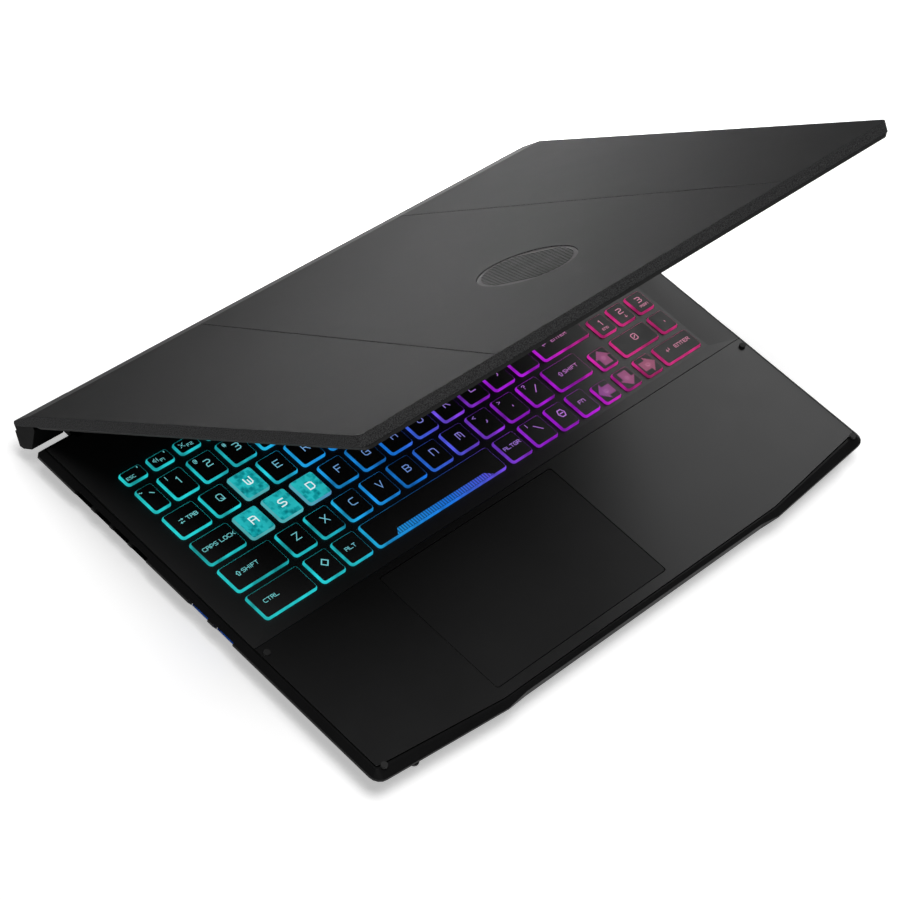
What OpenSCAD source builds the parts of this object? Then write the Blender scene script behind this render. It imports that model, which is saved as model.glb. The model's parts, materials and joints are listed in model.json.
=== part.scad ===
// Gaming notebook computer with a drop-down hinge lid, an island keyboard and a
// number pad. Millimetres, +Z up, front towards -Y. The origin is the middle of the
// bounding box, at the plane of the feet, with the lid at its half-open angle.

/* [Overall] */
// Width of the base and of the lid
body_w = 359; // [350:1:370]
// Front edge of the base, measured from the middle of the side walls
front_y = -125.4; // [-130:0.2:-122]
// Rear wall of the base, measured from the middle of the side walls
rear_y = 118.8; // [117:0.2:121]
// Height of the base without its feet
base_h = 15.2; // [14.6:0.1:17]
// Height of the rubber feet
foot_h = 1.5; // [1:0.1:2.5]
// Angle between the base and the lid
open_angle = 40.4; // [0:0.1:140]

/* [Lid] */
// Thickness of the lid
lid_t = 7.6; // [7.2:0.1:8]
// Gap between the closed lid and the deck
lid_gap = 1.6; // [1.4:0.1:2]
// Distance from the rear wall of the base to the hinge axis
hinge_back = 12.5; // [12:0.1:12.8]
// Depth of the hinge axis under the deck
hinge_drop = 1; // [0.6:0.1:1.4]
// Radius of the hinge pins
pin_r = 2; // [1.5:0.1:2.2]
// Radius of the hinge barrels
barrel_r = 4.5; // [4:0.1:4.6]

/* [Keyboard] */
// Side of one letter key
key_w = 14.9; // [14:0.1:15.2]
// Distance between two letter keys
key_pitch = 18.7; // [18.5:0.1:18.9]
// Depth of a key in the main rows
key_d = 16; // [15:0.1:16.4]
// Distance between two main rows
row_pitch = 19.6; // [19:0.1:19.8]
// Height of the key tops over the deck
key_top = 0.8; // [0.6:0.1:0.9]
// Clearance round each key
key_clear = 0.35; // [0.3:0.05:0.5]

/* [Touchpad] */
// Width of the touchpad
pad_w = 120.2; // [100:0.2:124]
// Depth of the touchpad
pad_d = 79.3; // [60:0.1:79.5]

/* [Hidden] */
$fn = 48;
eps = 0.01;
hw = body_w / 2;
// Depths inside the base, all measured down from the deck
rim_z = -0.4;
deck_t = 1.6;
floor_z = -base_h + 1.8;
belt_top = -3;
belt_low = -4.5;
// Insets of the deck, of the deck's recess and of the lower edge of the base
deck_in = 4.2;
recess_in = 3.9;
keel_in = 8;
// The lid's own frame: y from its front edge to the rear, z = 0 on its outer face
lid_front = -125.6;
hinge_y = rear_y + hinge_back;
hinge_z = -hinge_drop;
hinge_u = hinge_y - lid_front;
hinge_w = lid_t + lid_gap + hinge_drop;
skin = 1.6;
slab_end = 242;
chin_rear = [[257, 2.8], [259.3, 5], [260.5, 16.4], [258, 17.6]];
chin_front = [[250.9, 17.8], [242.5, 7.6]];
// The slots in the lid's chin that take the base's hinge knuckles
slot_in = 122;
slot_out = 160;
// Where the bounding box's middle lies, from the swung chin and the front edge
function swung_y(p) = hinge_y + cos(open_angle) * (p[0] - hinge_u)
    + sin(open_angle) * (hinge_w - p[1]);
y_mid = (front_y + max([for (p = chin_rear) swung_y(p)])) / 2;
deck_z = base_h + foot_h;

// ---------------------------------------------------------------- helpers
// Base pieces are drawn with z = 0 on the deck and y = 0 at the middle of the sides
module in_base() translate([0, -y_mid, deck_z]) children();
// Lid pieces are drawn in the lid's own frame and swung open about the hinge
module in_lid() in_base() translate([0, hinge_y, hinge_z]) rotate([-open_angle, 0, 0])
    translate([0, -hinge_u, hinge_w]) children();
module both_sides() { children(); mirror([1, 0, 0]) children(); }
module box(lo, hi) translate(lo) cube(hi - lo);
// A drawing in y and z, drawn out along x
module along_x(x0, x1) translate([x0, 0, 0]) rotate([90, 0, 90])
    linear_extrude(x1 - x0) children();
module x_rod(x0, x1, r) translate([x0, 0, 0]) rotate([0, 90, 0]) cylinder(h = x1 - x0, r = r);
function arc(cx, cy, r, from, steps = 4) = [for (i = [0 : steps])
    [cx + r * cos(from + 90 * i / steps), cy + r * sin(from + 90 * i / steps)]];
function rounded_points(w, d, r) = concat(arc(w - r, r, r, -90), arc(w - r, d - r, r, 0),
    arc(r, d - r, r, 90), arc(r, r, r, 180));
module rounded(w, d, r) polygon(rounded_points(w, d, r));
module slab(x, y, w, d, z0, z1, r = 1) translate([x, y, z0])
    linear_extrude(z1 - z0) rounded(w, d, r);

// Plan of the base, drawn in by e at the front and sides and by er at the rear
corner_y = front_y + 6.2;
function base_plan(e, er) = concat(
    arc(-hw + 6, corner_y + 6, 6 - e / 2, 180), [[-100, front_y], [100, front_y]],
    arc(hw - 6, corner_y + 6, 6 - e / 2, 270),
    [[hw, rear_y - 1.5], [hw - 1.5, rear_y], [-hw + 1.5, rear_y], [-hw, rear_y - 1.5]]);
function shrink(p, e, er) = [p[0] > 0 ? min(p[0], hw - e) : max(p[0], -hw + e),
    p[1] < 0 ? max(p[1] + e, front_y + e) : min(p[1], rear_y - er)];
module plan(e, er) polygon([for (p = base_plan(e, er)) shrink(p, e, er)]);
module plan_slab(e, er, z0, z1) translate([0, 0, z0]) linear_extrude(z1 - z0) plan(e, er);
module plan_taper(e0, er0, z0, e1, er1, z1) hull() {
    plan_slab(e0, er0, z0, z0 + eps);
    plan_slab(e1, er1, z1 - eps, z1);
}

// ---------------------------------------------------------------- keys
letter_front = -22.6;
function row_y(i) = letter_front + i * row_pitch;
function run(x, n, w, p) = [for (i = [0 : n - 1]) [x + i * p, w]];
function place(keys, y, d) = [for (k = keys) [k[0], y, k[1], d]];
kb_left = -159;
kb_right = 108.5;
pad_d_key = 13.2;
pad_pitch = 17;
pad_x = [112.5, 127.6, 142.8];
pad_key_w = 11.9;
function pad_y(i) = -23 + i * pad_pitch;
fn_y = 76;
fn_d = 8.1;
fn_keys = place(concat(run(-158.5, 16, 13.1, 17), [for (x = pad_x) [x, pad_key_w]]), fn_y, fn_d);
number_keys = place(concat([[kb_left, 10.4]], run(-145.2, 12, key_w, key_pitch),
    [[79.2, kb_right - 79.2]]), row_y(4), key_d);
upper_x = -136.1;
upper_keys = place(concat([[kb_left, 19.2], [upper_x, key_w]],
    run(upper_x + 2 * key_pitch, 10, key_w, key_pitch), [[88.3, kb_right - 88.3]]), row_y(3), key_d);
home_x = -131.9;
home_keys = place(concat([[kb_left, 23.5]], run(home_x + 3 * key_pitch, 8, key_w, key_pitch),
    [[73.8, kb_right - 73.8]]), row_y(2), key_d);
lower_x = -122.3;
lower_keys = place(concat([[kb_left, 32.8]], run(lower_x, 10, key_w, key_pitch),
    [[64.9, 25.3]]), row_y(1), key_d);
bottom_keys = place([[kb_left, 32.8], [lower_x, key_w], [lower_x + key_pitch - 0.4, key_w],
    [8.5, key_w], [27.1, 15.4], [46.3, 12.4], [62.5, 12.4]], row_y(0), key_d);
w_key = [upper_x + key_pitch, row_y(3), key_w, key_d];
a_key = [home_x, row_y(2), key_w, key_d];
s_key = [home_x + key_pitch, row_y(2), key_w, key_d];
d_key = [home_x + 2 * key_pitch, row_y(2), key_w, key_d];
space_key = [-85.3, row_y(0), 89.5, key_d];
up_key = [95.2, pad_y(1), pad_key_w, pad_d_key];
down_key = [95.2, pad_y(0), pad_key_w, pad_d_key];
left_key = [78.9, pad_y(0), pad_key_w, pad_d_key];
right_key = [111.9, pad_y(0), pad_key_w, pad_d_key];
pad_full_w = pad_x[2] + pad_key_w - pad_x[1];
pad_keys = concat([[pad_x[1], pad_y(0), pad_full_w, pad_d_key],
    [pad_x[0], pad_y(1), pad_x[1] + pad_key_w - pad_x[0], pad_d_key],
    [pad_x[2], pad_y(1), pad_key_w, pad_d_key]],
    [for (j = [2 : 5]) for (x = pad_x) [x, pad_y(j), pad_key_w, pad_d_key]]);
all_keys = concat(fn_keys, number_keys, upper_keys, home_keys, lower_keys, bottom_keys,
    [w_key, a_key, s_key, d_key, space_key, up_key, down_key, left_key, right_key], pad_keys);
key_foot = -1.9;
skirt_top = key_top - 0.5;
module keycap(k) translate([k[0], k[1], 0]) {
    slab(0, 0, k[2], k[3], key_foot, skirt_top, 1.8);
    slab(0.5, 0.5, k[2] - 1, k[3] - 1, skirt_top, key_top, 1.5);
}
module keycaps(list) in_base() for (k = list) keycap(k);
module key_hole(k) translate([k[0] - key_clear, k[1] - key_clear])
    rounded(k[2] + 2 * key_clear, k[3] + 2 * key_clear, 2.1);

// ---------------------------------------------------------------- base shells
seam_y = -31.6;
pad_left = -98.6;
pad_front = -115.1;
vent_ys = [[38.6, 49.6], [51.7, 63.2], [64.9, 75.7], [78.1, 90.1]];
// Ports: middle y, width, lowest z, highest z, face x
left_usb_ys = [2.4, -15];
usb_w = 13.2;
usb_z = [-8.6, -2.9];
port_depth = 13.5;
right_ports = [["power", 28, 9.6, -12.6, -3], ["network", 8, 16.4, -13.2, -2.7],
    ["display", -14, 15.8, -8.6, -2.7], ["usb_c", -33, 9.6, -7.4, -3.6],
    ["usb_a", -52, usb_w, usb_z[0], usb_z[1]], ["audio", -69.5, 7, -10, -3]];
function port(name) = [for (p = right_ports) if (p[0] == name) p][0];
// The face of each port stands a little inside the sloping wall
function face_x(p) = p[3] > -10 ? 176.4 : 173.4;
port_gap = 0.25;
module port_window(y, w, z0, z1) box([150, y - w / 2 - port_gap, z0 - port_gap],
    [hw + 5, y + w / 2 + port_gap, z1 + port_gap]);
screw_spots = [[-150, -115], [-50, -115.5], [50, -115.5], [150, -115], [-165, -36], [-60, -36],
    [60, -36], [165, -36], [-165, 100], [-45, 112], [45, 112], [165, 100]];
fan_spot = [112, 64];
fan_out = [76, 74];
fan_top = -5.6;
fan_eye_r = 24;
floor_slots = [for (i = [0 : 9]) -27 + i * 6];

module bottom_cover() color([0.13, 0.13, 0.14]) in_base() difference() {
    union() {
        plan_taper(0, 0, belt_top - eps, 3.1, 1.5, rim_z);
        plan_slab(0, 0, belt_low, belt_top);
        plan_taper(keel_in, 0, -base_h, 0, 0, belt_low + eps);
    }
    // Room for the deck on its ledge, and the inside
    plan_slab(recess_in, 2.3, -deck_t, 1);
    plan_slab(5.6, 4, belt_low - 1, 0);
    plan_taper(keel_in + 1.8, 4, floor_z, 5.6, 4, belt_low - 0.9);
    // The shallow finger notch in the front edge
    translate([0, 0, -base_h - 1]) linear_extrude(base_h + 2)
        polygon([[-100, front_y - 1], [-100, front_y], [-87, front_y + 1.2], [87, front_y + 1.2],
            [100, front_y], [100, front_y - 1]]);
    both_sides() for (v = vent_ys) box([165, v[0], -7], [hw + 5, v[1], -2.2]);
    for (y = left_usb_ys) mirror([1, 0, 0]) port_window(y, usb_w, usb_z[0], usb_z[1]);
    for (p = right_ports) port_window(p[1], p[2], p[3], p[4]);
    // Exhaust slots in the rear wall, and the ways out for the hinge necks
    for (i = [-9 : 9]) box([i * 11 - 4, rear_y - 8, -11.5], [i * 11 + 4, rear_y + 2, -5]);
    both_sides() box([slot_in + 1.5, rear_y - 8, -5.2], [slot_out - 1.5, rear_y + 2, 1]);
    // Fan intakes
    both_sides() for (x = floor_slots) for (y = [34, 66])
        slab(fan_spot[0] + x - 1.5, y, 3, 28, -base_h - 1, floor_z + 1, 1.4);
    for (s = screw_spots) translate([s[0], s[1], -base_h - 1]) {
        cylinder(h = 12, r = 1.65);
        cylinder(h = 2.1, r = 2.9);
    }
}

well = [[-161.5, -25.2], [157.5, 87]];
module keyboard_deck() color([0.11, 0.11, 0.115]) in_base() difference() {
    intersection() {
        plan_slab(deck_in, 2.6, -deck_t, 0);
        box([-hw, seam_y + 0.15, -5], [hw, rear_y, 5]);
    }
    // The keyboard lies in a shallow dish with sloping sides
    hull() {
        box([well[0][0], well[0][1], -0.6], [well[1][0], well[1][1], -0.59]);
        box([-175.2, seam_y + 0.2, 0], [175.2, 112, 0.5]);
    }
    translate([0, 0, -3]) linear_extrude(6) for (k = all_keys) key_hole(k);
    both_sides() box([slot_in + 1.5, rear_y - 5, -5], [slot_out - 1.5, rear_y + 2, 1]);
}

module palm_rest() color([0.12, 0.12, 0.125]) in_base() difference() {
    intersection() {
        plan_slab(deck_in, 2.6, -deck_t, 0);
        box([-hw, front_y - 1, -5], [hw, seam_y - 0.15, 5]);
    }
    slab(pad_left - 0.4, pad_front - 0.4, pad_w + 0.8, pad_d + 0.8, -3, 3, 1.6);
}

module touchpad() color([0.09, 0.09, 0.095]) in_base() {
    slab(pad_left, pad_front, pad_w, pad_d, -1.4, -0.15, 1.4);
    slab(pad_left + 3, pad_front + 3, pad_w - 6, pad_d - 6, -2.4, -1.4, 1);
}

// ---------------------------------------------------------------- keyboard inside
plate_z = -5;
module keyboard_plate() color([0.75, 0.76, 0.78]) in_base() difference() {
    slab(-162.5, -25.5, 320.5, 112.5, plate_z, plate_z + 0.7, 2);
    for (x = [-150 : 30 : 150]) for (y = [-4.5, 34.7]) translate([x, y, plate_z - 1])
        cylinder(h = 3, r = 1);
}
module dome_sheet() color([0.85, 0.87, 0.9]) in_base() {
    slab(-161.5, -24.5, 318.5, 110.5, plate_z + 0.7, plate_z + 1.2, 2);
    for (k = all_keys) translate([k[0] + k[2] / 2, k[1] + k[3] / 2, plate_z + 1.2])
        cylinder(h = 0.4, r = 2.4, $fn = 24);
}

// ---------------------------------------------------------------- inside the base
board_z = -7.4;
board_t = 1.2;
module motherboard() color([0.07, 0.16, 0.13]) in_base() difference() {
    union() {
        slab(-66, -31, 132, 132, board_z, board_z + board_t, 3);
        slab(-158, -31, 316, 54, board_z, board_z + board_t, 3);
    }
    for (s = [[-152, -22], [152, -22], [-60, 94], [60, 94], [-152, 16], [152, 16]])
        translate([s[0], s[1], board_z - 1]) cylinder(h = 4, r = 1.5);
}
module processor() color([0.2, 0.32, 0.24]) in_base() {
    slab(-56, 32, 44, 26, board_z - 1, board_z, 0.6);
    slab(-46, 38, 24, 13, board_z - 1.8, board_z - 1, 0.3);
}
module graphics_chip() color([0.2, 0.32, 0.24]) in_base() {
    slab(12, 26, 36, 36, board_z - 1, board_z, 0.6);
    slab(22, 35, 18, 18, board_z - 1.8, board_z - 1, 0.3);
}
module memory_modules() color([0.05, 0.2, 0.1]) in_base() for (i = [0, 1]) {
    translate([0, 0, -2.4 * i]) {
        slab(-34.8, 66, 69.6, 30, board_z - 2, board_z - 1, 0.4);
        for (x = [-31, -14, 3, 20]) box([x, 72, board_z - 2.8], [x + 11, 90, board_z - 2]);
    }
}
module storage_drive() color([0.08, 0.1, 0.12]) in_base() {
    slab(-70, -27, 80, 22, board_z - 2.2, board_z - 1.4, 0.4);
    for (x = [-62, -40, -12]) box([x, -24, board_z - 3.4], [x + 16, -9, board_z - 2.2]);
}
module wireless_card() color([0.08, 0.14, 0.1]) in_base() {
    slab(24, -27, 30, 22, board_z - 2.2, board_z - 1.4, 0.4);
    box([27, -24, board_z - 3.4], [47, -9, board_z - 2.2]);
}
module battery() color([0.06, 0.06, 0.065]) in_base() difference() {
    slab(-106, -112, 212, 70, floor_z, -6, 2);
    for (i = [-1 : 1]) box([i * 53 - 0.5, -113, -6.6], [i * 53 + 0.5, -41, -5]);
}
pipe_z = board_z - 1.8 - 2;
module pipe(points) for (i = [0 : len(points) - 2]) hull()
    for (p = [points[i], points[i + 1]]) translate([p[0], p[1], pipe_z])
        cylinder(h = 2, r = 3.5, $fn = 24);
module heat_pipes() color([0.72, 0.4, 0.25]) in_base() {
    pipe([[-48, 44], [-30, 44], [-62, 75], [-62, 109], [-148, 109]]);
    pipe([[20, 44], [42, 44], [60, 109], [148, 109]]);
}
module fan_housing() difference() {
    slab(fan_spot[0] - fan_out[0] / 2, fan_spot[1] - fan_out[1] / 2, fan_out[0], fan_out[1],
        floor_z, fan_top, 6);
    translate([fan_spot[0], fan_spot[1], floor_z + 0.8]) cylinder(h = 6.2, r = 34);
    box([fan_spot[0] - 28, fan_spot[1] + 10, floor_z + 0.8],
        [fan_spot[0] + 28, fan_spot[1] + 60, floor_z + 7]);
    translate([fan_spot[0], fan_spot[1], floor_z - 1]) difference() {
        cylinder(h = 3, r = fan_eye_r);
        cylinder(h = 3, r = 9);
        for (a = [0 : 120 : 240]) rotate(a) box([0, -1.2, 0], [30, 1.2, 3]);
    }
    translate([fan_spot[0], fan_spot[1], floor_z - 1]) cylinder(h = 12, r = 1.05);
}
module left_fan_housing() color([0.1, 0.1, 0.1]) in_base() mirror([1, 0, 0]) fan_housing();
module right_fan_housing() color([0.1, 0.1, 0.1]) in_base() fan_housing();
blades = 21;
module fan_rotor() translate([fan_spot[0], fan_spot[1], floor_z]) {
    translate([0, 0, 1.4]) cylinder(h = 4.8, r = 12);
    translate([0, 0, 0.2]) cylinder(h = 7, r = 1);
    for (i = [0 : blades - 1]) rotate(i * 360 / blades)
        box([11.5, -0.4, 1.7], [31.5, 0.4, 5.9]);
}
module left_fan_rotor() color([0.15, 0.15, 0.16]) in_base() mirror([1, 0, 0]) fan_rotor();
module right_fan_rotor() color([0.15, 0.15, 0.16]) in_base() fan_rotor();
module heatsink() {
    box([73, 103, pipe_z + 2], [153, 114.2, pipe_z + 2.6]);
    for (i = [0 : 26]) box([73.2 + i * 3, 103, pipe_z + 2.6], [73.7 + i * 3, 114.2, -5.4]);
}
module left_heatsink() color([0.55, 0.56, 0.58]) in_base() mirror([1, 0, 0]) heatsink();
module right_heatsink() color([0.55, 0.56, 0.58]) in_base() heatsink();
module speaker() {
    slab(112, -104, 50, 30, floor_z, -5, 3);
    translate([128, -89, -5]) cylinder(h = 0.8, r = 11);
}
module left_speaker() color([0.08, 0.08, 0.08]) in_base() mirror([1, 0, 0]) speaker();
module right_speaker() color([0.08, 0.08, 0.08]) in_base() speaker();
feet = [[-156, -112, 60, 9], [96, -112, 60, 9], [-160, 103.5, 78, 9], [82, 103.5, 78, 9]];
module rubber_feet() color([0.05, 0.05, 0.05]) in_base() for (f = feet)
    slab(f[0], f[1], f[2], f[3], -deck_z, -base_h, 4.2);
module bottom_screws() color([0.2, 0.2, 0.21]) in_base() for (s = screw_spots)
    translate([s[0], s[1], -base_h]) difference() {
        union() {
            cylinder(h = 1.1, r = 2.7);
            cylinder(h = 7, r = 1.55);
        }
        translate([0, 0, -eps]) both_sides() box([-2, -0.35, 0], [2, 0.35, 0.6]);
        translate([0, 0, -eps]) box([-0.35, -2, 0], [0.35, 2, 0.6]);
    }
module lid_bumpers() color([0.04, 0.04, 0.04]) in_base() for (y = [-36.7, -114.5])
    both_sides() translate([172.4, y, 0]) cylinder(h = 1.2, r = 1.7);

// ---------------------------------------------------------------- ports
// A metal or plastic shell with a cavity open at its face, drawn at the right wall
module port_shell(p, wall = 0.5) {
    fx = face_x(p);
    difference() {
        box([fx - port_depth, p[1] - p[2] / 2, p[3]], [fx, p[1] + p[2] / 2, p[4]]);
        box([fx - port_depth + 1, p[1] - p[2] / 2 + wall, p[3] + wall],
            [fx + 1, p[1] + p[2] / 2 - wall, p[4] - wall]);
    }
}
module tongue(p, w, z0, z1) box([face_x(p) - port_depth + 1, p[1] - w / 2, z0],
    [face_x(p) - 0.8, p[1] + w / 2, z1]);
left_usb = [for (y = left_usb_ys) ["usb", y, usb_w, usb_z[0], usb_z[1]]];
module left_usb_shells() color([0.45, 0.46, 0.48]) in_base() mirror([1, 0, 0])
    for (p = left_usb) port_shell(p);
module left_usb_tongues() color([0.1, 0.35, 0.8]) in_base() mirror([1, 0, 0])
    for (p = left_usb) tongue(p, 11.2, usb_z[1] - 2.7, usb_z[1] - 0.8);
module right_usb_port() color([0.4, 0.41, 0.43]) in_base() {
    port_shell(port("usb_a"));
    tongue(port("usb_a"), 11.2, usb_z[1] - 2.7, usb_z[1] - 0.8);
}
module usb_c_port() color([0.5, 0.51, 0.53]) in_base() {
    port_shell(port("usb_c"), 0.4);
    tongue(port("usb_c"), 6.7, -5.85, -5.15);
}
module display_port() color([0.4, 0.41, 0.43]) in_base() {
    port_shell(port("display"));
    tongue(port("display"), 12.6, -5.9, -4.9);
}
module network_jack() color([0.1, 0.1, 0.1]) in_base() port_shell(port("network"), 1.2);
audio_bore_r = 1.8;
module audio_jack() color([0.09, 0.09, 0.09]) in_base() {
    p = port("audio");
    difference() {
        box([face_x(p) - port_depth, p[1] - p[2] / 2, p[3]], [face_x(p), p[1] + p[2] / 2, p[4]]);
        translate([0, p[1], (p[3] + p[4]) / 2]) x_rod(face_x(p) - 13, face_x(p) + 1, audio_bore_r);
    }
}
inlet_bore_r = 3.3;
module power_inlet() color([0.09, 0.09, 0.09]) in_base() {
    p = port("power");
    difference() {
        box([face_x(p) - port_depth, p[1] - p[2] / 2, p[3]], [face_x(p), p[1] + p[2] / 2, p[4]]);
        translate([0, p[1], (p[3] + p[4]) / 2]) x_rod(face_x(p) - 10, face_x(p) + 1, inlet_bore_r);
    }
    translate([0, p[1], (p[3] + p[4]) / 2]) x_rod(face_x(p) - 11, face_x(p) - 2, 0.6);
}

// ---------------------------------------------------------------- hinges
pin_clear = 0.05;
module hinge_knuckle() difference() {
    union() {
        translate([0, hinge_y, hinge_z]) x_rod(slot_in + 2, slot_out - 2, barrel_r);
        box([slot_in + 2, rear_y - 14, -4.9], [slot_out - 2, hinge_y, -2.3]);
    }
    translate([0, hinge_y, hinge_z]) x_rod(slot_in, slot_out, pin_r + pin_clear);
}
module left_hinge_knuckle() color([0.1, 0.1, 0.1]) in_base() mirror([1, 0, 0]) hinge_knuckle();
module right_hinge_knuckle() color([0.1, 0.1, 0.1]) in_base() hinge_knuckle();
// The pin turns with the lid and is welded to a leaf that is screwed into it
arm_end = 253.6;
module hinge_arm() {
    translate([0, hinge_u, -hinge_w]) x_rod(slot_in - 9, slot_out + 6, pin_r);
    difference() {
        slab(slot_in - 12, 212, 11, arm_end - 0.5 - 212, -5.4, -4.4, 1);
        for (y = [218, 232]) translate([slot_in - 6.5, y, -6]) cylinder(h = 4, r = 1.3);
    }
    hull() {
        box([slot_in - 9, hinge_u - 1.6, -hinge_w], [slot_in - 4, hinge_u - 0.2, -hinge_w + 0.5]);
        box([slot_in - 9, arm_end - 2, -5.2], [slot_in - 4, arm_end - 0.6, -4.8]);
    }
}
module left_hinge_arm() color([0.6, 0.61, 0.63]) in_lid() mirror([1, 0, 0]) hinge_arm();
module right_hinge_arm() color([0.6, 0.61, 0.63]) in_lid() hinge_arm();

// ---------------------------------------------------------------- lid
function down(list) = [for (p = list) [p[0], -p[1]]];
lid_corner = 4;
lid_len = 261;
// The lid's front edge stands this far in front of its frame's origin
lid_nose = 3;
module lid_plan(h) translate([0, 0, -h]) linear_extrude(h + 1)
    translate([-hw, -lid_nose]) rounded(body_w, lid_len + lid_nose, lid_corner);
badge = [0, 74.6, 24.5, 24.5];
function oval(rx, ry, n = 40) = [for (i = [0 : n - 1])
    [badge[0] + rx * cos(i * 360 / n), badge[1] + ry * sin(i * 360 / n)]];
crease = [[70.5, 242.5], [98.4, -lid_nose - 1]];
module crease_cut() both_sides() translate([0, 0, -0.25]) linear_extrude(1)
    polygon([[crease[0][0] - 0.3, crease[0][1]], [crease[0][0] + 0.3, crease[0][1]],
        [crease[1][0] + 0.3, crease[1][1]], [crease[1][0] - 0.3, crease[1][1]]]);
lip_low = 8;
end_cap_x = 147;
bezel_t = 2;
cover_low = lid_t - bezel_t;
module barrel_room() both_sides() translate([0, hinge_u, -hinge_w])
    x_rod(slot_in, slot_out, barrel_r + 0.5);
module lid_cover() color([0.2, 0.2, 0.205]) in_lid() difference() {
    intersection() {
        along_x(-hw, hw) polygon(down([[-lid_nose, 0], [slab_end, 0], chin_rear[0], chin_rear[1],
            [259.6, lip_low], [257.8, lip_low], [257.4, cover_low], [-lid_nose, cover_low]]));
        lid_plan(20);
    }
    along_x(-hw + skin, hw - skin) polygon(down([[skin - lid_nose, skin], [slab_end - 0.2, skin],
        [arm_end, 3.6], [arm_end + 0.6, cover_low + 1], [skin - lid_nose, cover_low + 1]]));
    barrel_room();
    both_sides() box([slot_in, hinge_u, -20], [slot_out, 270, -hinge_w + barrel_r]);
    // Between the two end caps the rear edge is cut back
    box([-end_cap_x, 256, -lip_low - eps], [end_cap_x, 270, 1]);
    crease_cut();
    translate([0, 0, -0.8]) linear_extrude(2) polygon(oval(badge[2] + 0.2, badge[3] + 0.2));
}
module lid_badge() color([0.25, 0.25, 0.26]) in_lid() {
    translate([0, 0, -0.8]) linear_extrude(0.5) polygon(oval(badge[2], badge[3]));
    intersection() {
        translate([0, 0, -0.4]) linear_extrude(0.3) polygon(oval(badge[2] - 2, badge[3] - 2));
        for (i = [-8 : 8]) translate([i * 2.8, badge[1], -0.5]) rotate(30)
            box([-0.6, -40, 0], [0.6, 40, 0.4]);
    }
}
module hinge_cover() color([0.1, 0.1, 0.105]) in_lid() difference() {
    along_x(-hw + 0.2, hw - 0.2) polygon(down([[slab_end + 0.5, cover_low + 0.1],
        [257.1, cover_low + 0.1], [257.5, lip_low + 0.1], [259.65, lip_low + 0.1],
        chin_rear[2], chin_rear[3], chin_front[0], chin_front[1]]));
    // Slots for the knuckles, and the seats of the pins and their leaves
    both_sides() box([slot_in, 230, -30], [slot_out, 270, 0]);
    translate([0, hinge_u, -hinge_w]) both_sides() x_rod(slot_in - 9.1, slot_out + 6.1, pin_r + 0.02);
    both_sides() box([slot_in - 9.2, arm_end - 2.3, -hinge_w], [slot_in - 3.8, hinge_u + 0.1, 0]);
}
window = [172.5, 12.5, 206.8];
module display_bezel() color([0.07, 0.07, 0.072]) in_lid() difference() {
    hull() {
        translate([0, 0, -cover_low - 0.3]) linear_extrude(0.3) translate([-hw + 0.3, 0.3 - lid_nose])
            rounded(body_w - 0.6, slab_end + lid_nose, lid_corner);
        translate([0, 0, -lid_t]) linear_extrude(0.2) translate([-hw + 2.1, 0.6 - lid_nose])
            rounded(body_w - 4.2, slab_end - 0.3 + lid_nose, lid_corner - 1);
    }
    box([-window[0], window[1], -10], [window[0], window[2], 0]);
    translate([0, 6.2, -10]) cylinder(h = 10, r = 1.6);
}
module display_panel() color([0.02, 0.02, 0.025]) in_lid() {
    box([-175.4, 9.6, -cover_low + 0.1], [175.4, 211, -2.2]);
    box([-90, 211, -cover_low + 0.6], [90, 219, -3.6]);
}
module webcam_module() color([0.05, 0.05, 0.06]) in_lid() {
    box([-22, 3.6, -cover_low + 0.6], [22, 8.8, -3.4]);
    translate([0, 6.2, -lid_t + 0.4]) cylinder(h = lid_t - cover_low + 0.4, r = 1.4);
}
module wireless_antennas() color([0.7, 0.55, 0.2]) in_lid() both_sides()
    box([60, 3, -4.6], [100, 9, -3.8]);

// ---------------------------------------------------------------- key groups
glow_cyan = [0.25, 0.88, 0.92];
module key_w_cap() color(glow_cyan) keycaps([w_key]);
module key_a_cap() color(glow_cyan) keycaps([a_key]);
module key_s_cap() color(glow_cyan) keycaps([s_key]);
module key_d_cap() color(glow_cyan) keycaps([d_key]);
module space_bar() color([0.1, 0.1, 0.1]) keycaps([space_key]);
module up_arrow_key() color([0.1, 0.1, 0.1]) keycaps([up_key]);
module down_arrow_key() color([0.1, 0.1, 0.1]) keycaps([down_key]);
module left_arrow_key() color([0.1, 0.1, 0.1]) keycaps([left_key]);
module right_arrow_key() color([0.1, 0.1, 0.1]) keycaps([right_key]);
module function_row_keys() color([0.1, 0.1, 0.1]) keycaps(fn_keys);
module number_row_keys() color([0.1, 0.1, 0.1]) keycaps(number_keys);
module upper_row_keys() color([0.1, 0.1, 0.1]) keycaps(upper_keys);
module home_row_keys() color([0.1, 0.1, 0.1]) keycaps(home_keys);
module lower_row_keys() color([0.1, 0.1, 0.1]) keycaps(lower_keys);
module bottom_row_keys() color([0.1, 0.1, 0.1]) keycaps(bottom_keys);
module number_pad_keys() color([0.1, 0.1, 0.1]) keycaps(pad_keys);

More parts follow.
